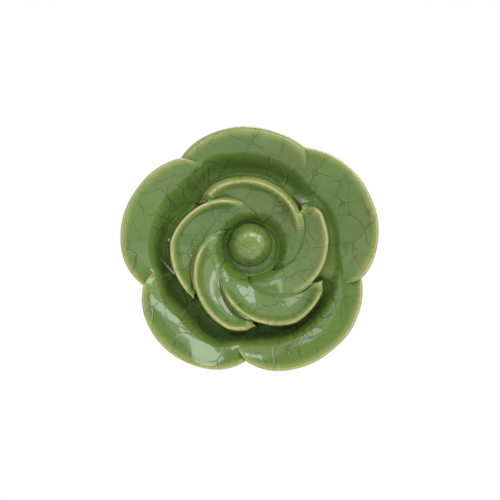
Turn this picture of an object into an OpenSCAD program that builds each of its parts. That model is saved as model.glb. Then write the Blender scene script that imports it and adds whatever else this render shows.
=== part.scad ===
// Ceramic rose knob for a drawer or cabinet door.
// The flower faces -Y, up is +Z, and the bolt runs back along +Y from the origin at the
// centre of the ferrule's back face. Every module is drawn with the flower facing +Z,
// heights counted forward from the ferrule's back, and is then turned to face -Y.

/* [Flower] */
// Height of the trench floor between the outer petals and the whorl
trench_h = 17; // [16.6:0.1:19]
// Rise of the outer rims above the trench
rim_rise = 6; // [5:0.1:7]
// Rise of the whorl's lips above the trench
lip_rise = 7; // [6:0.1:8]
// Size of the outer petals against the sizes in OUTER
petal_scale = 1; // [0.96:0.01:1.03]
// Radius of the bead in the middle
bead_r = 3.8; // [3.2:0.1:4.2]
// Thickness of the outer petals' roots under the whorl
root_t = 1.5; // [1:0.1:2]

/* [Ceramic back] */
// Radius of the neck that sits in the ferrule
neck_r = 8.2; // [7.5:0.1:8.2]
// Radius of the socket that the bolt is potted in
socket_r = 4.75; // [4.5:0.05:5.2]

/* [Bolt, washers and nut] */
// Radius over the M4 thread
thread_r = 2; // [2:0.1:2]
// Radius of the plain shank between the head and the thread
shank_r = 1.75; // [1.7:0.05:1.8]
// Length of the bolt behind the ferrule
bolt_out = 38; // [32:1:45]
// Height inside the ferrule where the thread begins
thread_top = 4; // [1:0.5:7]
// Gap between ferrule and washer, for the drawer front
front_gap = 18; // [16:1:25]
// Width of the hex head and nut across their flats
hex_af = 7; // [7:0.5:7]
// Radius of the flat washer
washer_r = 6; // [5:0.5:8]

/* [Ferrule] */
// Radius of the foot that stands on the drawer front
foot_r = 9.5; // [9:0.1:11]
// Radius of the ferrule's waist
waist_r = 6.2; // [5.5:0.1:7]

/* [Hidden] */

GLAZE = "#5f8737";
CLAY = "#d8cdb4";
BRASS = "#b08d4a";
STEEL = "#b9bcc0";

// One row for each outer petal: direction, half its span, reach.
OUTER = [
    [25, 40, 22.6],
    [97.5, 32.5, 21.4],
    [165, 35, 23.2],
    [232.5, 32.5, 23.2],
    [305, 40, 22.8]
];
// One row for each inner petal, whose lip winds out of the cup: the angles where it
// leaves the cup, stands at its full height and ends, then its reach, how boldly it
// swings out, how far along it reaches furthest, and how far its tail turns back in.
INNER = [
    [-60, 5, 139, 13.1, 1.5, 0.9, 0.9],
    [72, 98, 221, 14.4, 1.2, 0.7, 0.8],
    [135, 160, 273, 14.9, 1.2, 0.86, 1.1],
    [199, 222, 337, 15.2, 1.2, 0.75, 1.0],
    [257, 300, 401, 13.7, 2.1, 0.9, 2.0]
];

cup_r = 4.9;                         // the cup round the bead
cup_h = trench_h + 1.8;              // its floor
lut_gap = 0.15;                      // slip between one inner petal and the next
seat_h = trench_h - root_t;          // where the petal roots meet the ceramic back
root_r = 7;                          // inner end of an outer petal's root
trench_r = 15.5;
notch_drop = 0.13;                   // how far a petal's outline falls in at a notch
cushion_h = 8;                       // floor of the ferrule's cup
cushion_t = 0.8;
neck_h = cushion_h + cushion_t;
socket_top = trench_h - 1.2;
head_t = 2.8;
head_h = socket_top - 0.4 - head_t;
washer_t = 1;
nut_t = 3.2;
hex_r = hex_af / 2 / cos(30);
bolt_hole_r = 2.15;
round_fn = 96;

function polar(r, a, h) = [r * cos(a), r * sin(a), h];
function ramp(x) = let (t = min(1, max(0, x))) t * t * (3 - 2 * t);

// ---- thick sheets ----
// A closed solid between a front and a back grid of points with the same rows.
module thick_sheet(front, back) {
    rows = len(front);
    cols = len(front[0]);
    half = rows * cols;
    function at(side, j, i) = side * half + j * cols + i;
    function quad(a, b, c, d) = [[a, b, c], [a, c, d]];
    faces = [
        for (j = [0:rows - 2], i = [0:cols - 2])
            each concat(
                quad(at(0, j, i), at(0, j + 1, i), at(0, j + 1, i + 1), at(0, j, i + 1)),
                quad(at(1, j, i), at(1, j, i + 1), at(1, j + 1, i + 1), at(1, j + 1, i))
            ),
        for (j = [0:rows - 2])
            each concat(
                quad(at(0, j, 0), at(1, j, 0), at(1, j + 1, 0), at(0, j + 1, 0)),
                quad(at(0, j, cols - 1), at(0, j + 1, cols - 1),
                     at(1, j + 1, cols - 1), at(1, j, cols - 1))
            ),
        for (i = [0:cols - 2])
            each concat(
                quad(at(0, 0, i), at(0, 0, i + 1), at(1, 0, i + 1), at(1, 0, i)),
                quad(at(0, rows - 1, i), at(1, rows - 1, i),
                     at(1, rows - 1, i + 1), at(0, rows - 1, i + 1))
            )
    ];
    points = concat([for (row = front) each row], [for (row = back) each row]);
    rotate([90, 0, 0]) polyhedron(points, faces, convexity = 8);
}

// ---- outer petals ----
outer_rows = 24;
outer_cols = 9;
end_gap = 0.2;                       // degrees left free at each end of a petal

function outer_reach(p, u) =
    petal_scale * p[2] * (1 - notch_drop * pow(abs(u), 3.5));

// A wall rises out of the trench and then flares gently out to the rim.
function bowl_wall(t) = 0.57 * (1 - exp(-pow(t / 0.22, 1.6))) + 0.43 * t;

function outer_front(reach, rise) = concat(
    [[root_r, trench_h], [trench_r, trench_h]],
    [for (i = [1:outer_cols]) let (t = i / outer_cols)
        [trench_r + (reach - 0.9 - trench_r) * t, trench_h + rise * bowl_wall(t)]],
    [[reach - 0.25, trench_h + rise - 0.25], [reach, trench_h + rise - 0.9]]
);

function outer_back(reach, rise) = concat(
    [[root_r, seat_h], [trench_r - 0.4, seat_h]],
    [for (i = [1:outer_cols]) let (t = i / outer_cols)
        [trench_r - 0.4 + (reach - 1.2 - trench_r) * t,
         seat_h + (rise + root_t - 3.4) * pow(t, 1.2)]],
    [[reach - 0.6, trench_h + rise - 2.6], [reach - 0.1, trench_h + rise - 1.8]]
);

module outer_petal(p) {
    u_end = 1 - end_gap / p[1];
    us = [for (j = [0:outer_rows]) u_end * (2 * j / outer_rows - 1)];
    function rise(u) = rim_rise - 0.7 * pow(abs(u), 4);
    function turned(profile, u) = [for (q = profile) polar(q[0], p[0] - p[1] * u, q[1])];
    color(GLAZE)
        thick_sheet(
            [for (u = us) turned(outer_front(outer_reach(p, u), rise(u)), u)],
            [for (u = us) turned(outer_back(outer_reach(p, u), rise(u)), u)]
        );
}

module outer_petal_right() outer_petal(OUTER[0]);
module outer_petal_top() outer_petal(OUTER[1]);
module outer_petal_left() outer_petal(OUTER[2]);
module outer_petal_lower_left() outer_petal(OUTER[3]);
module outer_petal_lower_right() outer_petal(OUTER[4]);

// ---- inner petals ----
inner_rows = 34;
inner_cols = 7;
lip_swell = 0.8;                     // how far a lip stands proud of its own petal
lip_round = 0.35;                    // radius of the lip's outer corner

// Radius of lip p at angle a, which grows out of the cup, peaks and turns back in.
function lip_radius(p, a) =
    let (f = (a - p[0]) / (p[2] - p[0]),
         swing = min(1, max(0, f / p[5])),
         tail = max(0, (f - p[5]) / (1 - p[5])))
    cup_r + (p[3] - cup_r) * (1 - pow(1 - swing, p[4])) - p[6] * tail * tail;

// The bowl that the inner faces follow, rising from the cup to the outer lips.
function bowl(r) = cup_h + (lip_rise - 1.8 - lip_swell) * ramp((r - cup_r + 1) / 11);

module inner_petal(k) {
    p = INNER[k];
    next = INNER[(k + 1) % 5];
    turn = k == 4 ? 360 : 0;         // the fifth petal is followed by the first
    first = p[0] + 12;
    function inside(a) =
        a - turn <= next[0] ? cup_r + lut_gap : lip_radius(next, a - turn) + lut_gap;
    function lip_at(a) = lip_swell * ramp((a - p[0]) / (p[1] - p[0]));
    function across(a, t) = inside(a) + (lip_radius(p, a) - inside(a)) * t;
    function top(a, t) = bowl(across(a, t)) + lip_at(a) * pow(t, 3)
        - (t == 1 ? lip_round : 0);
    angles = [for (j = [0:inner_rows]) first + (p[2] - first) * j / inner_rows];
    steps = [for (i = [0:inner_cols]) sin(90 * i / inner_cols)];
    color(GLAZE)
        thick_sheet(
            [for (a = [for (n = [len(angles) - 1:-1:0]) angles[n]])
                [for (t = steps) polar(across(a, t), a, top(a, t))]],
            [for (a = [for (n = [len(angles) - 1:-1:0]) angles[n]])
                [for (t = steps) polar(across(a, t), a, trench_h)]]
        );
}

module inner_petal_1() inner_petal(0);
module inner_petal_2() inner_petal(1);
module inner_petal_3() inner_petal(2);
module inner_petal_4() inner_petal(3);
module inner_petal_5() inner_petal(4);

// ---- bead ----
bead_rise = 4.2;                     // top of the bead above the cup's floor
base_r = cup_r - 0.05;

module bead() {
    waist = 1.1;                     // height at which the bead is widest
    dome = [for (a = [0:6:84])
        [bead_r * cos(a), cup_h + waist + (bead_rise - waist) * sin(a)]];
    color(GLAZE)
        rotate([90, 0, 0]) rotate_extrude($fn = round_fn) polygon(concat(
            [[0, trench_h], [base_r, trench_h], [base_r, cup_h + 0.3],
             [bead_r + 0.3, cup_h], [bead_r - 0.4, cup_h + 0.2]],
            dome,
            [[0, cup_h + bead_rise]]
        ));
}

// ---- ceramic back ----
module flower_back() {
    color(CLAY)
        rotate([90, 0, 0]) rotate_extrude($fn = round_fn) polygon([
            [socket_r, neck_h], [neck_r, neck_h], [neck_r, neck_h + 1],
            [neck_r + 0.5, neck_h + 2.1], [neck_r + 1.8, neck_h + 3.5],
            [neck_r + 4, neck_h + 4.9], [trench_r - 0.5, seat_h - 0.9],
            [trench_r - 0.5, seat_h], [base_r, seat_h], [base_r, trench_h],
            [0, trench_h], [0, socket_top], [socket_r, socket_top]
        ]);
}

// ---- bolt and potting ----
// A hexagonal prism from z = 0 to t, its corners turned off at the ends that are named.
module hexagon(t, bottom, top) {
    corner = hex_r - hex_af / 2;
    fall = corner * tan(30);
    intersection() {
        cylinder(h = t, r = hex_r, $fn = 6);
        rotate_extrude($fn = round_fn) polygon([
            [0, 0], [hex_r - (bottom ? corner : 0), 0], [hex_r, bottom ? fall : 0.01],
            [hex_r, t - (top ? fall : 0.01)], [hex_r - (top ? corner : 0), t], [0, t]
        ]);
    }
}

module bolt_shape() {
    tip = 0.6;                       // chamfer at the end of the thread
    translate([0, 0, head_h]) hexagon(head_t, false, true);
    rotate_extrude($fn = round_fn) polygon([
        [0, -bolt_out], [thread_r - tip, -bolt_out], [thread_r, tip - bolt_out],
        [thread_r, thread_top], [shank_r, thread_top + 0.3], [shank_r, head_h + 0.5],
        [0, head_h + 0.5]
    ]);
}

module bolt() color(STEEL) rotate([90, 0, 0]) bolt_shape();

module potting() {
    color("#e6e2d6")
        rotate([90, 0, 0]) difference() {
            translate([0, 0, neck_h])
                cylinder(h = socket_top - neck_h, r = socket_r, $fn = round_fn);
            bolt_shape();
        }
}

// ---- ferrule and washers ----
module ring(h0, t, outer_r, inner_r, edge) {
    rotate([90, 0, 0]) rotate_extrude($fn = round_fn) polygon([
        [inner_r, h0], [outer_r - edge, h0], [outer_r, h0 + edge],
        [outer_r, h0 + t - edge], [outer_r - edge, h0 + t], [inner_r, h0 + t]
    ]);
}

module cushion_washer() color("#3a3a38") ring(cushion_h, cushion_t, neck_r, bolt_hole_r, 0.1);

module ferrule() {
    cup_in = neck_r + 0.1;
    cup_out = cup_in + 0.6;
    rim_h = neck_h + 0.7;
    cove = [for (a = [0:9:90])
        [foot_r - 0.7 - (foot_r - 0.7 - waist_r) * sin(a), 4.6 - 2.6 * cos(a)]];
    flare = [for (a = [0:10:90]) [cup_out - (cup_out - waist_r) * cos(a), 4.6 + 2.9 * sin(a)]];
    color(BRASS)
        rotate([90, 0, 0]) rotate_extrude($fn = round_fn) polygon(concat(
            [[bolt_hole_r, 0], [foot_r - 0.3, 0], [foot_r, 0.3], [foot_r, 1.3],
             [foot_r - 0.2, 1.7]],
            cove,
            [for (i = [1:len(flare) - 1]) flare[i]],
            [[cup_out, rim_h - 0.2], [cup_out - 0.2, rim_h], [cup_in + 0.1, rim_h],
             [cup_in, rim_h - 0.1], [cup_in, cushion_h], [bolt_hole_r, cushion_h]]
        ));
}

module flat_washer() color(STEEL) ring(-front_gap - washer_t, washer_t, washer_r, bolt_hole_r, 0.12);

module nut() {
    color(STEEL)
        rotate([90, 0, 0]) translate([0, 0, -front_gap - washer_t - nut_t])
            difference() {
                hexagon(nut_t, true, true);
                translate([0, 0, -1])
                    cylinder(h = nut_t + 2, r = thread_r + 0.06, $fn = round_fn);
            }
}

outer_petal_right();
outer_petal_top();
outer_petal_left();
outer_petal_lower_left();
outer_petal_lower_right();
inner_petal_1();
inner_petal_2();
inner_petal_3();
inner_petal_4();
inner_petal_5();
bead();
flower_back();
potting();
bolt();
cushion_washer();
ferrule();
flat_washer();
nut();
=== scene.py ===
"""A ceramic rose knob for a drawer: a whorl of five inner petals round a bead, five outer
petals, a ceramic back, and the ferrule, bolt, washers and nut that fix it to a drawer
front. Lengths are in millimetres until a mesh is made, and heights are counted forward
from the ferrule's back, so a point at height h stands at y = -h."""

import math

import bmesh
import bpy
import numpy as np
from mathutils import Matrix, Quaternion, Vector
from mathutils.bvhtree import BVHTree


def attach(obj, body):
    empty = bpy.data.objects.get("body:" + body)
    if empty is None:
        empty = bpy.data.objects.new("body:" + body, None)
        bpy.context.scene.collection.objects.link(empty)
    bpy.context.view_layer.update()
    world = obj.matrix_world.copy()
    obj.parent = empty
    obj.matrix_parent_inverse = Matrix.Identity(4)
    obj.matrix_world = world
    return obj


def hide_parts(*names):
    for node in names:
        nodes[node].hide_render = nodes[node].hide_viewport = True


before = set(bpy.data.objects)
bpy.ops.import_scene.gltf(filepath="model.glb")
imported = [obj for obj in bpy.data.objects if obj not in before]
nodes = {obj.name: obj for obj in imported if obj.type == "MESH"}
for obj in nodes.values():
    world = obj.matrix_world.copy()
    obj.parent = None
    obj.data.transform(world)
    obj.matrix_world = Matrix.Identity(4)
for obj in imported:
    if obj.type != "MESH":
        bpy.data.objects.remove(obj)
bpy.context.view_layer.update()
scene = bpy.context.scene
MM = 0.001


# ---------------------------------------------------------------- camera
# The knob is seen square from the front through a long lens, with the flower's axis a
# hair to the right of the middle of the view and above it.
aside = -0.35 * MM
below = -0.35 * MM
view_width = 87.5 * MM
eye_distance = 700 * MM
flower_face = 22 * MM
eye = bpy.data.objects.new("eye", bpy.data.cameras.new("eye"))
eye.data.sensor_width = 36
eye.data.lens = eye.data.sensor_width * eye_distance / view_width
eye.data.clip_start = 10 * MM
eye.data.clip_end = 20
eye.location = (aside, -flower_face - eye_distance, below)
eye.rotation_euler = (math.radians(90), 0, 0)
scene.collection.objects.link(eye)
scene.camera = eye


# ---------------------------------------------------------------- inner petals
# The whorl: five petals rolled from clay, whose lips wind out of the cup round the bead.
# Each starts inside the lip before it and ends against the wall of the one after, and
# slip smoothed along its foot leaves a small cove there.
INNER = [
    # leaves the cup, end, reach, swing, furthest at, tail, lean,
    # where its lip starts to rise, full height, rise, how bare its lip is
    (-60, 139, 13.1, 1.5, 0.90, 0.9, 0.9, 0, 50, 1.8, 1.25),
    (72, 221, 14.4, 1.2, 0.70, 0.8, 0.3, 90, 124, 1.7, 1.5),
    (135, 273, 14.9, 1.2, 0.86, 1.1, 0.4, 158, 190, 1.7, 1.3),
    (199, 335, 15.2, 1.2, 0.75, 1.0, 0.35, 217, 248, 1.5, 1.2),
    (257, 400, 13.7, 2.1, 0.90, 2.0, 0.4, 298, 332, 0.9, 1.5),
]
trench_h = 17.9
cup_r = 4.9


def ramp(x):
    """0 below 0, 1 above 1, and a smooth rise between."""
    x = np.clip(x, 0, 1)
    return x * x * (3 - 2 * x)


def polar(r, angle, h):
    """Points at radius r, at an angle in degrees anticlockwise from +X, and at height h."""
    a = np.radians(angle)
    return np.stack(np.broadcast_arrays(r * np.cos(a), -h, r * np.sin(a)), axis=-1)


def spline_loops(loops, per_point):
    """Each closed loop of control points, as a smooth cubic spline."""
    count = loops.shape[1]
    at = np.arange(count * per_point) / per_point
    first = np.floor(at).astype(int)
    t = at - first
    weights = np.zeros((len(at), count))
    basis = ((1 - t) ** 3, 3 * t**3 - 6 * t**2 + 4, -3 * t**3 + 3 * t**2 + 3 * t + 1, t**3)
    for k, b in enumerate(basis):
        weights[np.arange(len(at)), (first + k - 1) % count] += b / 6
    return np.einsum("sc,ncx->nsx", weights, loops)


def round_off_ends(loops, depth, steps=5):
    """The loops with a domed end of that depth added at each end."""
    ends = []
    for end, inner in ((loops[0], loops[1]), (loops[-1], loops[-2])):
        middle = end.mean(0)
        out = middle - inner.mean(0)
        out /= np.linalg.norm(out)
        turns = np.linspace(0, math.pi / 2, steps + 1)[1:]
        ends.append([
            middle + (end - middle) * max(math.cos(turn), 0.12) + out * depth * math.sin(turn)
            for turn in turns
        ])
    return np.concatenate([ends[0][::-1], loops, ends[1]])


def wander(points, size, depth, seed):
    """A slow, hand-made unevenness: one offset for each point, in millimetres."""
    rng = np.random.default_rng(seed)
    total = np.zeros(points.shape[:-1])
    waves = 7
    for _ in range(waves):
        way = rng.normal(size=3)
        way *= 2 * math.pi / (size * rng.uniform(0.7, 1.5)) / np.linalg.norm(way)
        total += np.sin(points @ way + rng.uniform(0, 2 * math.pi))
    return total * depth / math.sqrt(waves)


def loop_normals(points):
    """Outward normals of a tube of loops, whichever way round it was drawn."""
    along = np.gradient(points, axis=0)
    across = (np.roll(points, -1, 1) - np.roll(points, 1, 1)) / 2
    n = np.cross(across, along)
    n /= np.maximum(np.linalg.norm(n, axis=-1, keepdims=True), 1e-9)
    middle = points.mean(1, keepdims=True)
    return n if ((points - middle) * n).sum() > 0 else -n


def mesh_piece(name, points, faces):
    """A smooth-shaded mesh object from points in millimetres, its faces turned outward."""
    mesh = bpy.data.meshes.new(name)
    mesh.from_pydata((points.reshape(-1, 3) * MM).tolist(), [], faces)
    work = bmesh.new()
    work.from_mesh(mesh)
    bmesh.ops.recalc_face_normals(work, faces=work.faces)
    work.to_mesh(mesh)
    work.free()
    mesh.shade_smooth()
    piece = bpy.data.objects.new(name, mesh)
    scene.collection.objects.link(piece)
    return piece


def tube_faces(rows, cols):
    """Faces of a tube of closed loops with both ends shut."""
    grid = np.arange(rows * cols).reshape(rows, cols)
    beside = np.roll(grid, -1, 1)
    quads = np.stack([grid[:-1], grid[1:], beside[1:], beside[:-1]], -1).reshape(-1, 4)
    return quads.tolist() + [grid[0].tolist(), grid[-1][::-1].tolist()]


def bending(points, n, axis):
    """How sharply the surface bends along one axis of its grid, in 1/mm, convex positive."""
    ahead, behind = np.roll(points, -1, axis) - points, points - np.roll(points, 1, axis)
    far, near = (np.maximum(np.linalg.norm(d, axis=-1), 0.03) for d in (ahead, behind))
    turn = ahead / far[..., None] - behind / near[..., None]
    bend = -2 * (turn * n).sum(-1) / (far + near)
    if axis == 0:
        bend[0] = bend[-1] = 0
    return bend


def loft(name, loops, per_point=5, unevenness=(7.0, 0.07), seed=1, bare=1.0):
    """A closed mesh through loops of control points, with how sharply it bends at each
    vertex kept as the attribute 'bend'. Where bare is low, the glaze stays on its edges."""
    points = spline_loops(loops, per_point)
    n = loop_normals(points)
    points = points + n * wander(points, *unevenness, seed)[..., None]
    across, along = bending(points, n, 1), bending(points, n, 0)
    piece = mesh_piece(name, points, tube_faces(*points.shape[:2]))
    bend = np.where(along > across, along, across)
    bend = np.where(bend > 0, bend * bare, bend)
    keep_attribute(piece, "bend", bend.ravel())
    keep_attribute(piece, "halo", halo(points, bend, 0.65).ravel())
    piece["rows"] = len(points)
    return piece


def halo(points, bend, size):
    """The convex bending, blurred round each loop over that many millimetres."""
    steps = np.linalg.norm(np.roll(points, -1, 1) - points, axis=-1)
    reached = np.cumsum(steps, axis=1) - steps
    apart = np.abs(reached[:, :, None] - reached[:, None, :])
    apart = np.minimum(apart, steps.sum(1)[:, None, None] - apart)
    weights = np.exp(-0.5 * (apart / size) ** 2) * steps[:, None, :]
    return (weights * np.clip(bend, 0, 8)[:, None, :]).sum(2) / (size * math.sqrt(2 * math.pi))


def keep_attribute(piece, name, values):
    """Stores one number for each vertex, for the glaze to read."""
    attribute = piece.data.attributes.new(name, "FLOAT", "POINT")
    attribute.data.foreach_set("value", values)


def lip_radius(k, angle):
    """Radius of inner petal k's lip at an angle: out of the cup, to its peak, and back."""
    start, end, reach, swing, peak, tail = INNER[k][:6]
    f = (angle - start) / (end - start)
    out = 1 - (1 - np.clip(f / peak, 0, 1)) ** swing
    back = np.clip((f - peak) / (1 - peak), 0, 1.1)
    return cup_r + (reach - cup_r) * out - tail * back**2


def bowl(r):
    """Height of the dish that the inner faces follow, with the cup sunk in its middle."""
    dish = 18.9 + 3.1 * (np.clip(r - cup_r, 0, None) / 9.5) ** 0.82
    return dish - 1.6 * ramp((6.3 - r) / 1.9)


def lip_lift(k, angle):
    """How far inner petal k's lip stands up out of the bowl at an angle."""
    rising, full, rise = INNER[k][7:10]
    return rise * ramp((angle - rising) / (full - rising))


def face_height(k, angle, r):
    """Height of inner petal k's face at a point inside its lip."""
    crest = lip_radius(k, angle) - INNER[k][6]
    inward = np.clip(crest - r, 0, None)
    return bowl(r) + lip_lift(k, angle) * np.exp(-((inward / 1.5) ** 1.3))


def inner_petal(k):
    """One petal of the whorl. Its section runs from inside the lip after it, over the face
    and the lip, and down to its foot. Its end is slanted so that the lip runs on further."""
    start, end, lean = INNER[k][0], INNER[k][1], INNER[k][6]
    after, before = (k + 1) % 5, (k - 1) % 5
    angle = np.linspace(start + 6, end, 200)
    after_angle = angle - (360 if k == 4 else 0)
    before_angle = angle + (360 if k == 0 else 0)
    closing = 0.7 * ramp((angle - end + 7) / 9)
    lip_r = lip_radius(k, angle)
    lip_r += closing * np.minimum(lip_radius(after, after_angle) + 0.9 - lip_r, 0)
    lip = polar(lip_r, angle, 0)
    way = np.gradient(lip, axis=0)
    way /= np.linalg.norm(way, axis=1, keepdims=True)
    out = np.stack([way[:, 2], 0 * angle, -way[:, 0]], axis=1)
    inside_r = np.minimum(lip_radius(after, after_angle) - 0.5, lip_r - 0.35)
    inside = polar(inside_r, angle, 0)
    crest = lip - out * lean
    sunk = 1.3 * ramp((angle - end + 9) / 9)
    top = bowl(lip_r - lean) + lip_lift(k, angle) - sunk
    covered = ramp((INNER[before][1] - before_angle) / 7)
    lower_face = face_height(before, before_angle, lip_r + 0.8) - 0.05
    foot = np.minimum(covered * lower_face + (1 - covered) * trench_h, top - 0.25)
    wall = top - foot
    cove = np.minimum(1.25, 0.5 * wall)

    def at(base, offset, height):
        place = base + out * np.broadcast_to(offset, angle.shape)[:, None]
        place[:, 1] = -height
        return place

    tucked = 0.35 * ramp((after_angle - INNER[after][0]) / 20)
    loops = [at(inside, 0, bowl(inside_r) - tucked)]
    for t in (0.12, 0.3, 0.5, 0.68, 0.84):
        place = inside + (crest - inside) * t
        r = np.hypot(place[:, 0], place[:, 2])
        loops.append(at(place, 0, face_height(k, angle, r) - sunk * t))
    loops += [
        at(crest, -0.35, top - 0.06),
        at(crest, 0.0, top + 0.03),
        at(crest, 0.22, top - 0.14),
        at(lip, 0.0, top - np.minimum(0.3 + 0.8 * lean, 0.35 * wall)),
        at(lip, 0.03, foot + 0.55 * wall),
        at(lip, 0.05, foot + np.minimum(1.1, 0.3 * wall)),
        at(lip, 0.05 + 0.18 * cove, foot + 0.25 * cove),
        at(lip, 0.05 + 0.65 * cove, foot),
        at(lip, 0.05 + 1.3 * cove, foot - 0.3),
        at(lip, 0.7 * cove, foot - 0.8),
        at(lip, -0.4, 15.6),
        at(inside, 0.3, 15.6),
        at(inside, 0.0, 16.6),
    ]
    loops = np.stack(loops, axis=1)
    near_end = ramp((angle - end + 14) / 14)[:, None]
    inward = np.clip((lip_r[:, None] - np.hypot(loops[..., 0], loops[..., 2])) / 2, 0, 1)
    back = np.radians(-8 * near_end * inward)
    x, z = loops[..., 0].copy(), loops[..., 2].copy()
    loops[..., 0] = x * np.cos(back) - z * np.sin(back)
    loops[..., 2] = x * np.sin(back) + z * np.cos(back)
    name = f"inner_petal_{k + 1}"
    ends = round_off_ends(loops, 0.35)
    rubbed = INNER[k][10] * ramp(lip_lift(k, angle) / 0.6)
    rubbed = np.pad(rubbed, (len(ends) - len(angle)) // 2, mode="edge")
    on_lip = [5 < c / 5 < 10.5 for c in range(5 * loops.shape[1])]
    bare = rubbed[:, None] * np.array(on_lip)
    petal = loft(name + "_glazed", ends, seed=31 + k, unevenness=(6.0, 0.05), bare=bare)
    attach(petal, "knob")
    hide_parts(name)
    return petal


ceramic = [inner_petal(k) for k in range(5)]


# ---------------------------------------------------------------- outer petals
# Five thick petals, each pressed from clay and luted to the next so that its clockwise end
# laps over its neighbour. Together they make a saucer with a deep trench round the whorl.
# SAUCER gives its shape at some directions, and it changes smoothly between them.
OUTER = {
    # direction, half span, reach, drop to its notches, skew, how far its rim rolls over,
    # how high its clockwise end stands on its neighbour
    "outer_petal_right": (23.5, 38.5, 22.6, 0.118, -0.01, 0.4, 0.5),
    "outer_petal_top": (95.7, 33.3, 21.3, 0.062, 0.025, 0.8, 0.45),
    "outer_petal_left": (164.0, 35.0, 23.1, 0.125, 0.033, 0.35, 0.35),
    "outer_petal_lower_left": (232.7, 33.7, 23.2, 0.135, 0.0, 0.35, 0.12),
    "outer_petal_lower_right": (306.0, 39.0, 22.8, 0.130, -0.01, 0.4, 0.2),
}
SAUCER = [
    # angle, radius where the wall ends, radius where the face turns nearly flat, slope there
    (0, 15.4, 21.6, 0.42),
    (25, 15.3, 20.4, 0.42),
    (50, 15.4, 19.3, 0.44),
    (62, 16.0, 18.9, 0.46),
    (80, 16.7, 19.3, 0.50),
    (100, 17.2, 19.9, 0.52),
    (116, 18.4, 21.6, 0.52),
    (128, 16.9, 19.0, 0.52),
    (141, 17.9, 19.5, 0.52),
    (155, 18.2, 21.0, 0.52),
    (172, 18.1, 22.6, 0.52),
    (190, 17.9, 22.8, 0.52),
    (199, 17.6, 18.4, 0.52),
    (210, 18.3, 19.4, 0.52),
    (230, 18.5, 20.5, 0.52),
    (248, 18.6, 22.2, 0.52),
    (261, 17.2, 18.8, 0.52),
    (280, 17.6, 19.0, 0.50),
    (305, 17.3, 19.4, 0.50),
    (330, 17.0, 18.7, 0.48),
    (345, 16.4, 19.4, 0.46),
    (360, 15.4, 21.6, 0.42),
]
rim_h = 22.8
full_r = 21.5
steepest, flat_slope, rim_slope = 1.9, 0.34, 0.16


def trench_edge(angle):
    """Radius where the outer petals' wall starts: just clear of the whorl's lips."""
    widest = np.full(np.shape(angle), 11.0)
    for k, petal in enumerate(INNER):
        for turn in (-360, 0, 360):
            here = angle + turn
            inside = ramp((here - petal[0]) / 6) * ramp((petal[1] + 10 - here) / 10)
            widest = np.maximum(widest, inside * lip_radius(k, np.minimum(here, petal[1])))
    return widest + 0.9


def trench_floor(angle):
    """Height of the trench's floor, which clay fills up on the right side."""
    off = np.abs(np.mod(angle - 8 + 180, 360) - 180)
    return trench_h + 2.0 * ramp((52 - off) / 30)


def make_saucer(angles, radii):
    """Heights of the saucer, one row for each angle: up a steep wall from the trench, then
    ever flatter to the rim. Where the wall is too short for that, the trench is shallower."""
    rows = np.array(SAUCER)
    heights = []
    for angle, start in zip(angles, trench_edge(angles)):
        i = np.searchsorted(rows[:, 0], angle, side="right") - 1
        t = ramp((angle - rows[i, 0]) / (rows[i + 1, 0] - rows[i, 0]))
        _, shoulder, flat, slope = rows[i] * (1 - t) + rows[i + 1] * t
        foot = start - 0.3
        shoulder = max(shoulder, start + 0.6)
        flat = max(flat, shoulder + 0.8)
        knots = [foot, 0.5 * (foot + shoulder), shoulder, flat, max(22.5, flat + 1)]
        gentle = np.interp(radii, knots, [0, 0, slope, flat_slope, rim_slope])
        wall = np.interp(radii, knots, [0, 1, 0, 0, 0])
        gentle, wall = np.cumsum([gentle, wall], axis=1) * (radii[1] - radii[0])
        need = rim_h - trench_h - np.interp(full_r, radii, gentle)
        steep = min(need / wall[-1], steepest)
        lift = (need - steep * wall[-1]) * ramp((radii - foot + 0.4) / 0.6)
        heights.append(trench_h + lift + gentle + steep * wall)
    rounding = 0.25
    floor = trench_floor(angles)[:, None]
    heights = rounding * np.logaddexp(np.array(heights) / rounding, floor / rounding)
    reach = round(3 / (angles[1] - angles[0]))
    weights = np.hanning(2 * reach + 3)[1:-1]
    shifted = [np.roll(heights, k, axis=0) for k in range(-reach, reach + 1)]
    return np.tensordot(weights / weights.sum(), shifted, axes=1)


saucer_angles = np.arange(0, 360, 0.5)
saucer_radii = np.arange(10, 25, 0.05)
saucer = make_saucer(saucer_angles, saucer_radii)


def saucer_height(angle, radii):
    """Height of the saucer at each row's angle and radii."""
    place = np.mod(angle, 360) / 0.5
    first = place.astype(int) % len(saucer)
    share = place - place.astype(int)
    heights = []
    for i, t, row in zip(first, share, radii):
        line = saucer[i] * (1 - t) + saucer[(i + 1) % len(saucer)] * t
        heights.append(np.interp(row, saucer_radii, line))
    return np.array(heights)


def thumb_mark(loops):
    """The loops with a slim, shallow dent that a thumb pressed into the face."""
    x, z = loops[..., 0], loops[..., 2]
    r, angle = np.hypot(x, z), np.degrees(np.arctan2(z, x))
    depth = 0.22 * np.exp(-(((angle - 1) / 5.5) ** 2) - ((r - 17.1) / 0.75) ** 2)
    loops[..., 1] += depth * (loops[..., 1] < -trench_h)
    return loops


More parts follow.
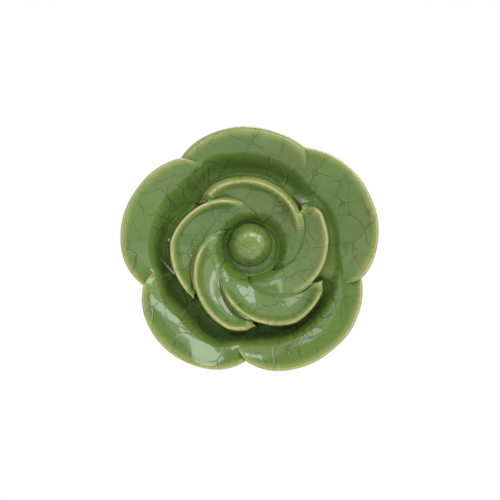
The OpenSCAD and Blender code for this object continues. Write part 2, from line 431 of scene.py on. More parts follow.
def outer_petal(name, seed):
    """One outer petal. Its section runs from under the whorl along the saucer to its rim, and
    back down its outside. u is 1 at its anticlockwise notch and -1 at its clockwise one."""
    direction, half_span, reach, drop, skew, roll, lap = OUTER[name]
    u = np.linspace(1.14, -1.2, 170)
    angle = direction + u * half_span
    beyond = np.clip(np.abs(u) - 1, 0, None)
    rim = reach * (1 - drop * np.minimum(np.abs(u), 1) ** 2.4 + skew * u * (1 - u**2))
    rim -= 9 * beyond + 30 * beyond**2
    start = np.minimum(trench_edge(angle), rim - 1.5)
    crest = rim - roll
    shares = np.array([0.0, 0.05, 0.12, 0.2, 0.3, 0.4, 0.5, 0.62, 0.74, 0.87, 0.96, 1.0])
    radii = start[:, None] + (crest - start)[:, None] * shares
    face = saucer_height(angle, radii)
    shown = ramp((rim - 17.3) / 2.4)
    over = lap * shown * ramp((-u - 0.2) / 0.8) - 0.6 * ramp((u - 0.5) / 0.5)
    over -= 0.3 * (1 - shown)
    tuck = -0.28 * ramp((np.abs(u) - 0.93) / 0.2)
    outer = ramp((radii - rim[:, None] + 4.5) / 3.5)
    face += outer * over[:, None] + (1 - outer) * tuck[:, None]
    top = face[:, -1]
    bottom = trench_floor(angle)
    section = [(10.5, bottom - 0.1), (12.3, bottom - 0.1), (start - 0.7, bottom - 0.05)]
    section += list(zip(radii.T, face.T))
    low = np.minimum(3.7, top - trench_h - 0.3)
    section += [
        (crest + 0.45 * roll, top - 0.12 * roll),
        (rim, top - 0.25 - 0.5 * roll),
        (rim + 0.1, top - 0.35 * low),
        (rim - 0.15, top - 0.65 * low),
        (rim - 1.1, top - low),
        (0.55 * start + 0.45 * rim, trench_h - 0.2),
        (start, 14.6),
        (13.0, 13.6),
        (10.5, 13.6),
    ]
    loops = np.stack([polar(r + 0 * angle, angle, h) for r, h in section], axis=1)
    if name == "outer_petal_right":
        loops = thumb_mark(loops)
    petal = loft(name + "_glazed", round_off_ends(loops, 0.5), 5, (9.0, 0.05), seed, bare=1.35)
    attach(petal, "knob")
    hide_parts(name)
    return petal


ceramic += [outer_petal(name, seed) for seed, name in enumerate(OUTER, 11)]


# ---------------------------------------------------------------- bead
# A little ball of clay pressed into the middle of the whorl, its top a touch flattened,
# with a skirt that stands in a low ring against the petals. Its top is painted lighter, a painted
# highlight where the light falls on it.
def between(loops, per_step):
    """More loops between the given ones, on a smooth curve that passes through them all."""
    count = len(loops)
    at = np.linspace(0, count - 1, (count - 1) * per_step + 1)
    i = np.minimum(at.astype(int), count - 2)
    t = (at - i)[:, None, None]
    p0, p1 = loops[np.maximum(i - 1, 0)], loops[i]
    p2, p3 = loops[i + 1], loops[np.minimum(i + 2, count - 1)]
    return 0.5 * (2 * p1 + (p2 - p0) * t + (2 * p0 - 5 * p1 + 4 * p2 - p3) * t**2
                  + (3 * p1 - p0 - 3 * p2 + p3) * t**3)


bead_profile = [
    (0.05, 21.0), (0.8, 20.97), (1.6, 20.8), (2.3, 20.45), (2.9, 19.95), (3.4, 19.3),
    (3.72, 18.6), (3.8, 18.0), (3.88, 17.55), (4.1, 17.32), (4.45, 17.42), (4.8, 17.62),
    (5.15, 17.62), (5.5, 17.3), (5.7, 16.9), (5.7, 16.4), (4.8, 16.15), (2.0, 16.1), (0.05, 16.1),
]
bead_shift = np.array([-0.35, 0, 0.6])
skirt_r = 4.1
spacing = np.linspace(0, 360, 40, endpoint=False)
bead_loops = np.stack([polar(r + 0 * spacing, spacing, h) for r, h in bead_profile])
bead_loops += np.array([r < skirt_r for r, _ in bead_profile])[:, None, None] * bead_shift
bead = loft("bead_glazed", between(bead_loops, 6), 3, unevenness=(3.0, 0.03), seed=5, bare=0)
# Painted highlight: the bead's top is painted lighter yellow-green, fed to the glaze through the halo
# attribute.
painted_top_highlight = [0.8 * ramp((-v.co.y / MM - 19.6) / 1.4) for v in bead.data.vertices]
bead.data.attributes["halo"].data.foreach_set("value", painted_top_highlight)
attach(bead, "knob")
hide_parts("bead")
ceramic.append(bead)


# ---------------------------------------------------------------- ceramic back
# The calyx that the petals are luted to: a turned neck that spreads into a shallow dish.
# It is dipped with the flower, and wiped bare down to where it stands in the ferrule.
back_profile = [
    (4.75, 15.8), (4.75, 12.0), (4.75, 9.0), (4.9, 8.82), (7.9, 8.82), (8.15, 8.95),
    (8.2, 9.6), (8.6, 10.6), (9.6, 11.9), (11.2, 13.0), (13.2, 13.9), (14.6, 14.6),
    (14.9, 15.1), (14.5, 15.45), (5.0, 15.48), (4.85, 15.6), (4.8, 16.9), (4.6, 17.0),
    (0.1, 17.0),
]
spacing = np.linspace(0, 360, 96, endpoint=False)
back_loops = np.stack([polar(r + 0 * spacing, spacing, h) for r, h in back_profile])
back_points = between(back_loops, 4)
back = mesh_piece("flower_back_glazed", back_points, tube_faces(*back_points.shape[:2]))
back["rows"] = len(back_points)
back_bend = bending(back_points, loop_normals(back_points), 0)
keep_attribute(back, "bend", back_bend.ravel())
keep_attribute(back, "halo", 0 * back_bend.ravel())
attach(back, "knob")
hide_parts("flower_back")
ceramic.append(back)


# ---------------------------------------------------------------- glaze
# One transparent green glaze over the whole flower. It breaks to the cream clay on sharp
# edges, and has crazed in a loose net of hairlines. Where the clay shuts off the sky, in hollows
# and where two pieces meet, it is darker: partly glaze pooled thick, partly painted shade.
def find_pool_and_shade(pieces, reach):
    """Keeps on each vertex how much of the sky over it is shut off by clay within reach, which
    the glaze turns into darker green: partly glaze pooled thick, partly painted shade. Every
    third vertex each way is looked at, and the rest lie between."""
    corners, faces = [], []
    for piece in pieces:
        start = len(corners)
        corners += [v.co.copy() for v in piece.data.vertices]
        faces += [[start + i for i in p.vertices] for p in piece.data.polygons]
    clay = BVHTree.FromPolygons(corners, faces)
    golden = math.pi * (3 - math.sqrt(5))
    rays = []
    for i in range(14):
        up = math.sqrt(1 - (i + 0.5) / 14)
        side = math.sqrt(1 - up * up)
        rays.append((side * math.cos(i * golden), side * math.sin(i * golden), up))
    for piece in pieces:
        mesh = piece.data
        cols = len(mesh.vertices) // piece["rows"]
        rows = np.unique(np.append(np.arange(0, piece["rows"], 3), piece["rows"] - 1))
        turns = np.arange(0, cols, 3)
        shut = np.zeros((len(rows), len(turns)))
        for i, row in enumerate(rows):
            for j, col in enumerate(turns):
                v = mesh.vertices[row * cols + col]
                n = v.normal
                side = n.orthogonal().normalized()
                other = n.cross(side)
                place = v.co + n * (0.06 * MM)
                for x, y, z in rays:
                    if clay.ray_cast(place, side * x + other * y + n * z, reach * MM)[0]:
                        shut[i, j] += 1 / len(rays)
        full = np.array([np.interp(np.arange(cols), turns, line, period=cols) for line in shut])
        full = np.array([np.interp(np.arange(piece["rows"]), rows, line) for line in full.T]).T
        keep_attribute(piece, "pool_and_shade", full.ravel())


# How shut in each vertex is: the glaze darkens there, partly as pooled glaze, partly as painted shade.
find_pool_and_shade(ceramic, 4.0)


class Graph:
    """A short way to lay out a shader's nodes."""

    def __init__(self, tree):
        self.tree = tree

    def node(self, kind, **settings):
        made = self.tree.nodes.new(kind)
        for key, value in settings.items():
            setattr(made, key, value)
        return made

    def feed(self, socket, value):
        if isinstance(value, bpy.types.NodeSocket):
            self.tree.links.new(value, socket)
        else:
            socket.default_value = value

    def math(self, operation, a, b=0.0, clamp=False):
        made = self.node("ShaderNodeMath", operation=operation, use_clamp=clamp)
        self.feed(made.inputs[0], a)
        self.feed(made.inputs[1], b)
        return made.outputs[0]

    def spread(self, value, low, high, to_low=0.0, to_high=1.0):
        """value from low..high to to_low..to_high, smoothly and no further."""
        made = self.node("ShaderNodeMapRange", interpolation_type="SMOOTHSTEP")
        for socket, v in zip(made.inputs, (value, low, high, to_low, to_high)):
            self.feed(socket, v)
        return made.outputs[0]

    def mix(self, share, a, b, blend="MIX"):
        made = self.node("ShaderNodeMix", data_type="RGBA", blend_type=blend)
        self.feed(made.inputs[0], share)
        self.feed(made.inputs[6], a)
        self.feed(made.inputs[7], b)
        return made.outputs[2]

    def noise(self, where, size, detail=2.0, rough=0.5):
        """Noise with features of about that size, in millimetres."""
        made = self.node("ShaderNodeTexNoise")
        self.feed(made.inputs["Vector"], where)
        made.inputs["Scale"].default_value = 1 / (size * MM)
        made.inputs["Detail"].default_value = detail
        made.inputs["Roughness"].default_value = rough
        return made.outputs["Fac"]


def effect_group(name, sockets_in, sockets_out):
    """An empty node group with those inputs and outputs, as (group, graph, ins, outs)."""
    group = bpy.data.node_groups.new(name, "ShaderNodeTree")
    for label, kind in sockets_in:
        group.interface.new_socket(label, in_out="INPUT", socket_type=kind)
    for label, kind in sockets_out:
        group.interface.new_socket(label, in_out="OUTPUT", socket_type=kind)
    graph = Graph(group)
    ins = graph.node("NodeGroupInput").outputs
    outs = graph.node("NodeGroupOutput").inputs
    return group, graph, ins, outs


def crazing_group():
    """Hairline cracks: a coarse net whose cells are split here and there by finer ones.
    Depth counts for little, so the cracks go straight down into the glaze."""
    group, g, ins, outs = effect_group(
        "crazing",
        [("Where", "NodeSocketVector"), ("Cell", "NodeSocketFloat"), ("Width", "NodeSocketFloat")],
        [("Lines", "NodeSocketFloat")],
    )
    bend = g.node("ShaderNodeTexNoise")
    g.feed(bend.inputs["Vector"], ins["Where"])
    bend.inputs["Scale"].default_value = 1 / (4.0 * MM)
    bend.inputs["Detail"].default_value = 1
    upright = g.node("ShaderNodeVectorMath", operation="MULTIPLY")
    g.feed(upright.inputs[0], ins["Where"])
    upright.inputs[1].default_value = (1, 0.12, 1)
    sway = g.node("ShaderNodeVectorMath", operation="MULTIPLY_ADD")
    g.feed(sway.inputs[0], bend.outputs["Color"])
    sway.inputs[1].default_value = (2.6 * MM,) * 3
    g.feed(sway.inputs[2], upright.outputs[0])
    lines = []
    for share, width_share, gap_size in ((1.0, 1.0, 3.5), (0.62, 0.75, 4.0)):
        cells = g.node("ShaderNodeTexVoronoi", feature="DISTANCE_TO_EDGE")
        g.feed(cells.inputs["Vector"], sway.outputs[0])
        cell = g.math("MULTIPLY", ins["Cell"], share)
        g.feed(cells.inputs["Scale"], g.math("DIVIDE", 1.0, cell))
        gap = g.math("MULTIPLY", cells.outputs["Distance"], cell)
        fade = g.spread(g.noise(ins["Where"], gap_size), 0.40, 0.62, 0.3 if share == 1 else 0.0)
        width = g.math("MULTIPLY", ins["Width"], width_share)
        line = g.spread(g.math("DIVIDE", gap, width), 0.15, 1.0, 1.0, 0.0)
        lines.append(g.math("MULTIPLY", line, fade))
    g.feed(outs["Lines"], g.math("MAXIMUM", lines[0], lines[1]))
    return group


def breaking_group():
    """How thin the glaze is on edges, and how dark the hollows are painted: partly glaze pooled thick,
    partly painted shade. The borders are ragged.
    """
    group, g, ins, outs = effect_group(
        "breaking",
        [("Where", "NodeSocketVector"), ("Bend", "NodeSocketFloat"), ("Halo", "NodeSocketFloat"),
         ("Pool_and_shade", "NodeSocketFloat")],
        [("Thin", "NodeSocketFloat"), ("Thick_and_shaded", "NodeSocketFloat"), ("Veil", "NodeSocketFloat")],
    )
    ragged = g.math("SUBTRACT", g.noise(ins["Where"], 0.45, 4, 0.75), 0.5)
    slow = g.math("SUBTRACT", g.noise(ins["Where"], 4.5, 2), 0.5)
    edge = g.math("ADD", ins["Bend"], g.math("MULTIPLY", ragged, 8.0))
    edge = g.math("ADD", edge, g.math("MULTIPLY", slow, 4.0))
    g.feed(outs["Thin"], g.spread(edge, 1.8, 5.2))
    beside = g.math("ADD", ins["Halo"], g.math("MULTIPLY", slow, 0.8))
    g.feed(outs["Veil"], g.spread(beside, 0.1, 1.2))
    # Painted shade: hollows and creases, where the clay shuts off the sky, come out darker; part of it
    # is glaze pooled thick.
    pooled_and_shaded = g.math("SUBTRACT", ins["Pool_and_shade"], g.math("MULTIPLY", ins["Bend"], 0.1))
    pooled_and_shaded = g.math("ADD", pooled_and_shaded, g.math("MULTIPLY", slow, 0.2))
    g.feed(outs["Thick_and_shaded"], g.spread(pooled_and_shaded, 0.35, 0.9))
    return group


crazing = crazing_group()
breaking = breaking_group()
MID_GREEN = (0.084, 0.160, 0.029, 1)
LIGHT_GREEN = (0.135, 0.220, 0.048, 1)
OLIVE = (0.118, 0.162, 0.030, 1)
EDGE_GREEN = (0.255, 0.310, 0.078, 1)
# Thick pooled glaze, and painted shade in hollows and creases.
POOLED_AND_SHADED_GREEN = (0.066, 0.114, 0.024, 1)
CREAM = (0.440, 0.395, 0.175, 1)
CRACK = (0.040, 0.050, 0.022, 1)
BISQUE = (0.50, 0.40, 0.26, 1)
SPECKLE = (0.36, 0.27, 0.16, 1)
bare_h = 10.2


def glaze_material(name):
    """The green glaze: thin and cream where it breaks, deep where it pools and painted darker as shade
    in hollows, with its crazing.
    Behind bare_h it is wiped off, and the fired clay shows."""
    material = bpy.data.materials.new(name)
    material.use_nodes = True
    g = Graph(material.node_tree)
    shader = material.node_tree.nodes["Principled BSDF"]
    where = g.node("ShaderNodeTexCoord").outputs["Object"]
    bend = g.node("ShaderNodeAttribute", attribute_name="bend").outputs["Fac"]
    beside = g.node("ShaderNodeAttribute", attribute_name="halo").outputs["Fac"]
    pool_and_shade = g.node("ShaderNodeAttribute", attribute_name="pool_and_shade").outputs["Fac"]
    broken = g.node("ShaderNodeGroup", node_tree=breaking)
    g.feed(broken.inputs["Where"], where)
    g.feed(broken.inputs["Bend"], bend)
    g.feed(broken.inputs["Halo"], beside)
    g.feed(broken.inputs["Pool_and_shade"], pool_and_shade)
    cracks = g.node("ShaderNodeGroup", node_tree=crazing)
    g.feed(cracks.inputs["Where"], where)
    cracks.inputs["Cell"].default_value = 6.5 * MM
    cracks.inputs["Width"].default_value = 0.14 * MM
    tone = g.spread(g.noise(where, 6.0, 3), 0.3, 0.75, 0.0, 0.6)
    colour = g.mix(tone, MID_GREEN, LIGHT_GREEN)
    colour = g.mix(g.spread(g.noise(where, 9.0, 2), 0.45, 0.7, 0.0, 0.6), colour, OLIVE)
    # Darker green where the clay shuts off the sky: glaze pooled thick, and painted shade.
    colour = g.mix(broken.outputs["Thick_and_shaded"], colour, POOLED_AND_SHADED_GREEN)
    # Lighter yellow-green and cream beside edges, where the glaze runs thin; on the bead this is a
    # painted highlight on its top.
    veil = broken.outputs["Veil"]
    colour = g.mix(g.math("MULTIPLY", veil, 0.55), colour, EDGE_GREEN)
    colour = g.mix(g.math("MULTIPLY", g.math("MULTIPLY", veil, veil), 0.15), colour, CREAM)
    colour = g.mix(g.math("MULTIPLY", broken.outputs["Thin"], 0.9), colour, CREAM)
    lines = cracks.outputs["Lines"]
    shown = g.math("SUBTRACT", 0.7, g.math("MULTIPLY", veil, 0.4))
    colour = g.mix(g.math("MULTIPLY", lines, shown), colour, CRACK)
    depth = g.node("ShaderNodeSeparateXYZ")
    g.feed(depth.inputs[0], where)
    wiped = g.math("ADD", depth.outputs["Y"], g.math("MULTIPLY", g.noise(where, 5.0, 3), 1.2 * MM))
    bare = g.spread(wiped, -bare_h * MM, (0.25 - bare_h) * MM)
    grain = g.noise(where, 0.35, 3, 0.7)
    colour = g.mix(bare, colour, g.mix(g.spread(grain, 0.35, 0.7), BISQUE, SPECKLE))
    bump = g.node("ShaderNodeBump")
    bump.inputs["Distance"].default_value = 0.03 * MM
    bump.inputs["Strength"].default_value = 1.0
    pebbled = g.math("MULTIPLY", g.noise(where, 1.6, 2), 0.5)
    relief = g.math("SUBTRACT", pebbled, g.math("MULTIPLY", lines, 0.5))
    relief = g.math("ADD", relief, g.math("MULTIPLY", grain, g.math("MULTIPLY", bare, 1.5)))
    g.feed(bump.inputs["Height"], relief)
    g.feed(shader.inputs["Normal"], bump.outputs["Normal"])
    g.feed(shader.inputs["Base Color"], colour)
    dry = g.math("MAXIMUM", g.math("MULTIPLY", broken.outputs["Thin"], 0.22),
                 g.math("MULTIPLY", bare, 0.75))
    g.feed(shader.inputs["Roughness"], g.math("ADD", dry, 0.07))
    shader.inputs["IOR"].default_value = 1.52
    return material


glaze = glaze_material("crackle_glaze")
for piece in ceramic:
    piece.data.materials.append(glaze)


# ---------------------------------------------------------------- kiln grit
# A curl of white kiln grit that lies across the trench on the left, and two crumbs of it
# against the whorl. They fell into the glaze and were fired in.
along = np.linspace(0, 1, 9)
grit_places = list(zip(187.5 + 9.5 * along, 16.1 - 1.6 * along**0.8, 0.13 + 0.16 * along**2))
grit_places += [(197.6, 14.35, 0.33), (174.5, 14.7, 0.25)]


def height_of_clay(direction, r):
    """How far forward the front of the ceramic stands there."""
    a = math.radians(direction)
    sight = Vector((r * math.cos(a) * MM, -0.1, r * math.sin(a) * MM))
    hits = [piece.ray_cast(sight, Vector((0, 1, 0))) for piece in ceramic]
    return max(-place.y / MM for found, place, _, _ in hits if found)


crumbs = bmesh.new()
for direction, r, size in grit_places:
    made = bmesh.ops.create_icosphere(crumbs, subdivisions=2, radius=size)["verts"]
    corners = np.array([v.co for v in made])
    bumps = wander(corners, size * 2.5, size * 0.25, int(10 * direction))
    middle = polar(r, direction, height_of_clay(direction, r))
    for v, corner, bump in zip(made, corners, bumps):
        v.co = Vector((middle + corner * (1 + bump / size)) * MM)
grit_mesh = bpy.data.meshes.new("kiln_grit")
crumbs.to_mesh(grit_mesh)
crumbs.free()
grit_mesh.shade_smooth()
grit = bpy.data.objects.new("kiln_grit", grit_mesh)
scene.collection.objects.link(grit)
grit_white = bpy.data.materials.new("fired_grit")
grit_white.use_nodes = True
g = Graph(grit_white.node_tree)
shader = grit_white.node_tree.nodes["Principled BSDF"]
cloudy = g.noise(g.node("ShaderNodeTexCoord").outputs["Object"], 0.25, 3, 0.6)
grit_colour = g.mix(g.spread(cloudy, 0.4, 0.65), (0.62, 0.60, 0.50, 1), (0.30, 0.33, 0.20, 1))
g.feed(shader.inputs["Base Color"], grit_colour)
g.feed(shader.inputs["Roughness"], g.spread(cloudy, 0.3, 0.7, 0.25, 0.5))
grit_mesh.materials.append(grit_white)
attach(grit, "knob")


# ---------------------------------------------------------------- ferrule
# A brass cup turned on a lathe from bar: a flat foot that stands on the drawer front, a
# waisted cove, and a thin rim that hides the joint with the ceramic neck. Lacquer has worn
# off it and it has browned in blotches.
def soften(outline, size, steps=4):
    """A closed outline of (radius, height) with each corner rounded to about that size."""
    outline = np.array(outline, float)
    rounded = []
    for before, corner, after in zip(np.roll(outline, 1, 0), outline, np.roll(outline, -1, 0)):
        back, ahead = before - corner, after - corner
        lengths = np.linalg.norm(back), np.linalg.norm(ahead)
        reach = min(size, 0.4 * min(lengths))
        start = corner + back / lengths[0] * reach
        end = corner + ahead / lengths[1] * reach
        rounded.append(start + 0.1 * reach * back / lengths[0])
        for t in np.linspace(0, 1, steps + 1):
            rounded.append((1 - t) ** 2 * start + 2 * t * (1 - t) * corner + t**2 * end)
        rounded.append(end + 0.1 * reach * ahead / lengths[1])
    return np.array(rounded)


def turned(name, outline, cols=128):
    """A ring with a hole through it, turned from that closed outline."""
    spacing = np.linspace(0, 360, cols, endpoint=False)
    points = np.stack([polar(r + 0 * spacing, spacing, h) for r, h in outline])
    return mesh_piece(name, points, ring_faces(*points.shape[:2]))


def ring_faces(rows, cols):
    """Faces of loops that run round in both directions."""
    grid = np.arange(rows * cols).reshape(rows, cols)
    ahead, beside = np.roll(grid, -1, 0), np.roll(grid, -1, 1)
    return np.stack([grid, ahead, np.roll(ahead, -1, 1), beside], -1).reshape(-1, 4).tolist()


def turning_group():
    """The fine rings that a lathe tool leaves, and blotches where a metal has dulled."""
    group, g, ins, outs = effect_group(
        "turning",
        [("Where", "NodeSocketVector"), ("Blotch", "NodeSocketFloat")],
        [("Rings", "NodeSocketFloat"), ("Dull", "NodeSocketFloat"), ("Specks", "NodeSocketFloat")],
    )
    split = g.node("ShaderNodeSeparateXYZ")
    g.feed(split.inputs[0], ins["Where"])
    x, z = split.outputs["X"], split.outputs["Z"]
    round_axis = g.math("SQRT", g.math("ADD", g.math("MULTIPLY", x, x), g.math("MULTIPLY", z, z)))
    along = g.node("ShaderNodeCombineXYZ")
    g.feed(along.inputs[0], round_axis)
    g.feed(along.inputs[1], split.outputs["Y"])
    g.feed(outs["Rings"], g.noise(along.outputs[0], 0.16, 2))
    blotches = g.node("ShaderNodeTexNoise")
    g.feed(blotches.inputs["Vector"], ins["Where"])
    g.feed(blotches.inputs["Scale"], g.math("DIVIDE", 1.0, ins["Blotch"]))
    blotches.inputs["Detail"].default_value = 5
    blotches.inputs["Roughness"].default_value = 0.65
    g.feed(outs["Dull"], g.spread(blotches.outputs["Fac"], 0.38, 0.66))
    g.feed(outs["Specks"], g.spread(g.noise(ins["Where"], 0.3, 3, 0.7), 0.60, 0.72))
    return group


turning = turning_group()


def metal_material(name, clean, dulled, speck, blotch, smooth, rough):
    """A turned metal that has dulled in blotches of that size, in millimetres."""
    material = bpy.data.materials.new(name)
    material.use_nodes = True
    g = Graph(material.node_tree)
    shader = material.node_tree.nodes["Principled BSDF"]
    marks = g.node("ShaderNodeGroup", node_tree=turning)
    g.feed(marks.inputs["Where"], g.node("ShaderNodeTexCoord").outputs["Object"])
    marks.inputs["Blotch"].default_value = blotch * MM
    rings, dull, specks = (marks.outputs[k] for k in ("Rings", "Dull", "Specks"))
    colour = g.mix(dull, clean, dulled)
    colour = g.mix(g.math("MULTIPLY", specks, 0.6), colour, speck)
    g.feed(shader.inputs["Base Color"], colour)
    uneven = g.math("ADD", g.math("MULTIPLY", dull, 0.8), g.math("MULTIPLY", rings, 0.2))
    g.feed(shader.inputs["Roughness"], g.spread(uneven, 0.0, 1.0, smooth, rough))
    shader.inputs["Metallic"].default_value = 1.0
    bump = g.node("ShaderNodeBump")
    bump.inputs["Distance"].default_value = 0.012 * MM
    g.feed(bump.inputs["Height"], g.math("SUBTRACT", rings, g.math("MULTIPLY", specks, 0.5)))
    g.feed(shader.inputs["Normal"], bump.outputs["Normal"])
    return material


aged_brass = metal_material(
    "aged_brass", (0.60, 0.42, 0.17, 1), (0.22, 0.14, 0.06, 1), (0.07, 0.05, 0.03, 1), 3.5, 0.24, 0.5
)
hole_r = 2.15
foot_r, waist_r, cup_in, cup_out = 9.5, 6.2, 8.3, 8.9
cup_floor_h, cup_rim_h, waist_h = 8.0, 9.5, 4.6
quarter = np.linspace(0, math.pi / 2, 10)
ferrule_outline = [
    (hole_r, 0), (foot_r, 0), (foot_r, 1.3), (foot_r - 0.35, 1.6), (foot_r - 0.35, 1.8)
]
ferrule_outline += [(foot_r - 0.7 - (foot_r - 0.7 - waist_r) * math.sin(a), waist_h - 2.6 * math.cos(a))
                    for a in quarter]
ferrule_outline += [(cup_out - (cup_out - waist_r) * math.cos(a), waist_h + 2.9 * math.sin(a))
                    for a in quarter[1:]]
ferrule_outline += [
    (cup_out - 0.12, 7.75), (cup_out - 0.12, 7.95), (cup_out, 8.1), (cup_out, cup_rim_h),
    (cup_in, cup_rim_h), (cup_in, cup_floor_h), (hole_r, cup_floor_h),
]
ferrule = turned("ferrule_turned", soften(ferrule_outline, 0.16))
ferrule.data.materials.append(aged_brass)
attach(ferrule, "knob")
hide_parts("ferrule")


# ---------------------------------------------------------------- cushion washer
# A punched rubber ring in the ferrule's cup that keeps the brass off the ceramic neck. Its
# edge bulges a little under the bolt's pull.
cushion_outline = [
    (hole_r, 8.0), (7.9, 8.0), (8.15, 8.2), (8.2, 8.4), (8.15, 8.6), (7.9, 8.8), (hole_r, 8.8)
]
cushion = turned("cushion_washer_rubber", soften(cushion_outline, 0.1))
rubber = bpy.data.materials.new("black_rubber")
rubber.use_nodes = True
g = Graph(rubber.node_tree)
where = g.node("ShaderNodeTexCoord").outputs["Object"]
shader = rubber.node_tree.nodes["Principled BSDF"]
dusty = g.spread(g.noise(where, 1.8, 4, 0.6), 0.4, 0.7)
rubber_colour = g.mix(dusty, (0.022, 0.022, 0.021, 1), (0.060, 0.058, 0.052, 1))
g.feed(shader.inputs["Base Color"], rubber_colour)
g.feed(shader.inputs["Roughness"], g.spread(dusty, 0.0, 1.0, 0.55, 0.8))
bump = g.node("ShaderNodeBump")
bump.inputs["Distance"].default_value = 0.02 * MM
g.feed(bump.inputs["Height"], g.noise(where, 0.2, 3, 0.6))
g.feed(shader.inputs["Normal"], bump.outputs["Normal"])
cushion.data.materials.append(rubber)
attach(cushion, "knob")
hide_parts("cushion_washer")


# ---------------------------------------------------------------- bolt
# A zinc-plated M4 hexagon bolt with a rolled thread, its head set in the ceramic back. The
# thread's crests are rounded, it runs out into the shank, and its end is chamfered.
pitch = 0.7
crest_r, root_r, shank_r = 1.99, 1.58, 1.75
head_top, head_under, thread_top, bolt_end = 15.4, 12.6, 4.0, -38.0
half_flats = 3.5
spacing = np.linspace(0, 360, 48, endpoint=False)
hexagon_r = half_flats / np.cos(np.radians(np.mod(spacing, 60) - 30))


def thread_shape(heights):
    """0 in a right-hand thread's root and 1 on its crest, at each height and spacing."""
    turns = np.mod(heights[:, None] / pitch - spacing / 360, 1)
    return ramp(1.35 * (1 - np.abs(2 * turns - 1)) - 0.15)


fall = np.array([0, 0.02, 0.07, 0.13, 0.2, 0.28, 0.35, 0.5])
rows = [(head_top + 0 * spacing, 1.5 + 0 * spacing), (head_top + 0 * spacing, 3.2 + 0 * spacing)]
rows += [(head_top - d + 0 * spacing, np.minimum(hexagon_r, 3.4 + d * math.sqrt(3))) for d in fall]
for h, r in ((head_under + 0.08, 0.0), (head_under, -0.08)):
    rows.append((h + 0 * spacing, hexagon_r + r))
fillet = [(head_under, 2.2), (head_under, 1.95), (12.5, 1.8), (12.3, shank_r)]
for h, r in fillet + [(4.9, shank_r), (4.5, shank_r)]:
    rows.append((h + 0 * spacing, r + 0 * spacing))
heights = np.linspace(thread_top + 0.3, bolt_end, 600)
runout = ramp((thread_top + 0.3 - heights) / 1.4)[:, None]
thread_r = shank_r + runout * (root_r - shank_r + (crest_r - root_r) * thread_shape(heights))
thread_r = np.minimum(thread_r, 1.35 + np.clip(heights - bolt_end, 0, None)[:, None])
rows += [(h + 0 * spacing, r) for h, r in zip(heights, thread_r)]
rows.append((bolt_end + 0 * spacing, 0.6 + 0 * spacing))
bolt_points = np.stack([polar(r, spacing, h) for h, r in rows])
bolt = mesh_piece("bolt_threaded", bolt_points, tube_faces(*bolt_points.shape[:2]))
bolt.data.set_sharp_from_angle(angle=math.radians(38))
zinc = metal_material(
    "zinc_plate", (0.62, 0.61, 0.58, 1), (0.42, 0.41, 0.39, 1), (0.20, 0.18, 0.15, 1), 2.0, 0.22, 0.42
)
bolt.data.materials.append(zinc)
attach(bolt, "knob")
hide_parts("bolt")


# ---------------------------------------------------------------- potting
# White cement poured round the bolt's head in the ceramic back and struck off level. Its
# plain solid is the real shape, so it keeps that and only gets its material here.
cement = bpy.data.materials.new("white_cement")
cement.use_nodes = True
g = Graph(cement.node_tree)
where = g.node("ShaderNodeTexCoord").outputs["Object"]
shader = cement.node_tree.nodes["Principled BSDF"]
sandy = g.noise(where, 0.5, 4, 0.7)
cement_colour = g.mix(g.spread(sandy, 0.35, 0.7), (0.68, 0.66, 0.60, 1), (0.45, 0.43, 0.38, 1))
g.feed(shader.inputs["Base Color"], cement_colour)
g.feed(shader.inputs["Roughness"], g.spread(sandy, 0.3, 0.7, 0.8, 0.95))
bump = g.node("ShaderNodeBump")
bump.inputs["Distance"].default_value = 0.06 * MM
g.feed(bump.inputs["Height"], sandy)
g.feed(shader.inputs["Normal"], bump.outputs["Normal"])
potting = nodes["potting"].data
potting.materials.clear()
potting.materials.append(cement)


# ---------------------------------------------------------------- flat washer and nut
# A punched steel washer, and a hexagon nut with chamfered corners and a tapped bore. They
# clamp the drawer front against the ferrule's foot, and ride the bolt's thread.
washer_back, washer_front, washer_r = -19.0, -18.0, 6.0
washer_outline = [(r, washer_back) for r in (hole_r, washer_r)]
washer_outline += [(r, washer_front) for r in (washer_r, hole_r)]
flat_washer = turned("flat_washer_punched", soften(washer_outline, 0.18))
flat_washer.data.materials.append(zinc)
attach(flat_washer, "washer")
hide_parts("flat_washer")

nut_t = 3.2
nut_mouth_r = 3.0
tapped_r = 2.08
falls = np.concatenate([fall, nut_t - fall[::-1]])
rows = [(washer_back + 0 * spacing, nut_mouth_r + 0 * spacing)]
for d in falls:
    chamfer_r = 3.4 + min(d, nut_t - d) * math.sqrt(3)
    rows.append((washer_back - d + 0 * spacing, np.minimum(hexagon_r, chamfer_r)))
rows.append((washer_back - nut_t + 0 * spacing, nut_mouth_r + 0 * spacing))
heights = np.linspace(washer_back - nut_t, washer_back, 50)
bore = tapped_r + 0.28 * thread_shape(heights)
from_ends = np.minimum(heights - heights[0], heights[-1] - heights)
bore = np.maximum(bore, tapped_r + 0.42 - from_ends[:, None])
rows += [(h + 0 * spacing, r) for h, r in zip(heights, bore)]
nut_points = np.stack([polar(r, spacing, h) for h, r in rows])
nut = mesh_piece("nut_tapped", nut_points, ring_faces(*nut_points.shape[:2]))
nut.data.set_sharp_from_angle(angle=math.radians(38))
nut.data.materials.append(zinc)
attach(nut, "nut")
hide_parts("nut")


# ---------------------------------------------------------------- floor and light
# A plain white floor well below the knob, in a white room. A key softbox in two parts
# stands at the upper right, a smaller one at the upper left and one behind the knob. The
# world adds a bright ring round the view, which fills in from all sides.
floor_side = 3.0
floor_z = -0.25
square = ((-1, -1), (1, -1), (1, 1), (-1, 1))
corners = [(x * floor_side, y * floor_side, floor_z) for x, y in square]
floor_mesh = bpy.data.meshes.new("floor")
floor_mesh.from_pydata(corners, [], [(0, 1, 2, 3)])
floor = bpy.data.objects.new("floor", floor_mesh)
scene.collection.objects.link(floor)
floor_paint = bpy.data.materials.new("floor_white")
floor_paint.use_nodes = True
shader = floor_paint.node_tree.nodes["Principled BSDF"]
shader.inputs["Base Color"].default_value = (0.9, 0.9, 0.9, 1)
floor_mesh.materials.append(floor_paint)

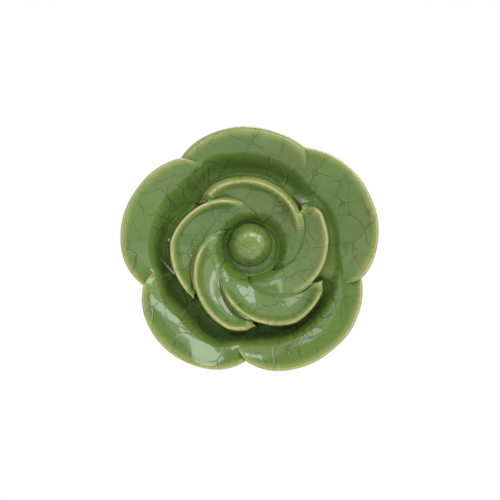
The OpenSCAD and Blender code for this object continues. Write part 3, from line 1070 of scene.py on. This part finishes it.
world = bpy.data.worlds.new("studio")
scene.world = world
world.use_nodes = True
g = Graph(world.node_tree)
background = world.node_tree.nodes["Background"]
background.inputs["Color"].default_value = (1, 1, 1, 1)
way = g.node("ShaderNodeSeparateXYZ")
g.feed(way.inputs[0], g.node("ShaderNodeTexCoord").outputs["Generated"])
ahead = g.math("MULTIPLY", way.outputs["Y"], -1.0)
ring_inner, ring_outer = math.cos(math.radians(38)), math.cos(math.radians(76))
ring_soft = 0.02
ring = g.math("MULTIPLY",
              g.spread(ahead, ring_outer - ring_soft, ring_outer + ring_soft),
              g.spread(ahead, ring_inner - ring_soft, ring_inner + ring_soft, 1.0, 0.0))
tone = g.math("ADD", g.math("MULTIPLY", way.outputs["X"], 0.25), 1.15)
tone = g.math("ADD", g.math("MULTIPLY", way.outputs["Z"], -0.15), tone)
behind = g.spread(ahead, -0.35, -0.05, 0.65, 0.0)
glow = g.math("ADD", g.math("MULTIPLY", ring, tone), g.math("ADD", behind, 0.35))
seen = g.node("ShaderNodeLightPath").outputs["Is Camera Ray"]
unseen = g.math("MULTIPLY", glow, g.math("SUBTRACT", 1.0, seen))
g.feed(background.inputs["Strength"], g.math("ADD", unseen, seen))


def softbox(name, off_axis, turn, spread, radiance, distance=0.8):
    """An area light aimed at the flower: off_axis degrees from straight in front, turned
    by turn degrees anticlockwise from the right, and spread degrees round and outward."""
    light = bpy.data.objects.new(name, bpy.data.lights.new(name, "AREA"))
    a, t = math.radians(off_axis), math.radians(turn)
    way = Vector((math.sin(a) * math.cos(t), -math.cos(a), math.sin(a) * math.sin(t)))
    light.location = Vector((0, -flower_face, 0)) + way * distance
    facing = (-way).to_track_quat("-Z", "Y") @ Quaternion((0, 0, 1), math.pi / 2 - t)
    light.rotation_euler = facing.to_euler()
    width, height = (2 * distance * math.tan(math.radians(s / 2)) for s in spread)
    light.data.shape = "RECTANGLE"
    light.data.size, light.data.size_y = width, height
    light.data.energy = radiance * math.pi * width * height
    light.visible_camera = False
    scene.collection.objects.link(light)


softbox("key_low", 51, 33, (36, 10), 4.8)
softbox("key_high", 45.5, 66, (29, 21), 4.8)
softbox("second", 44, 125, (12, 18), 2.6)
softbox("behind", 130, 65, (40, 30), 3.5)
scene.view_settings.view_transform = "Standard"
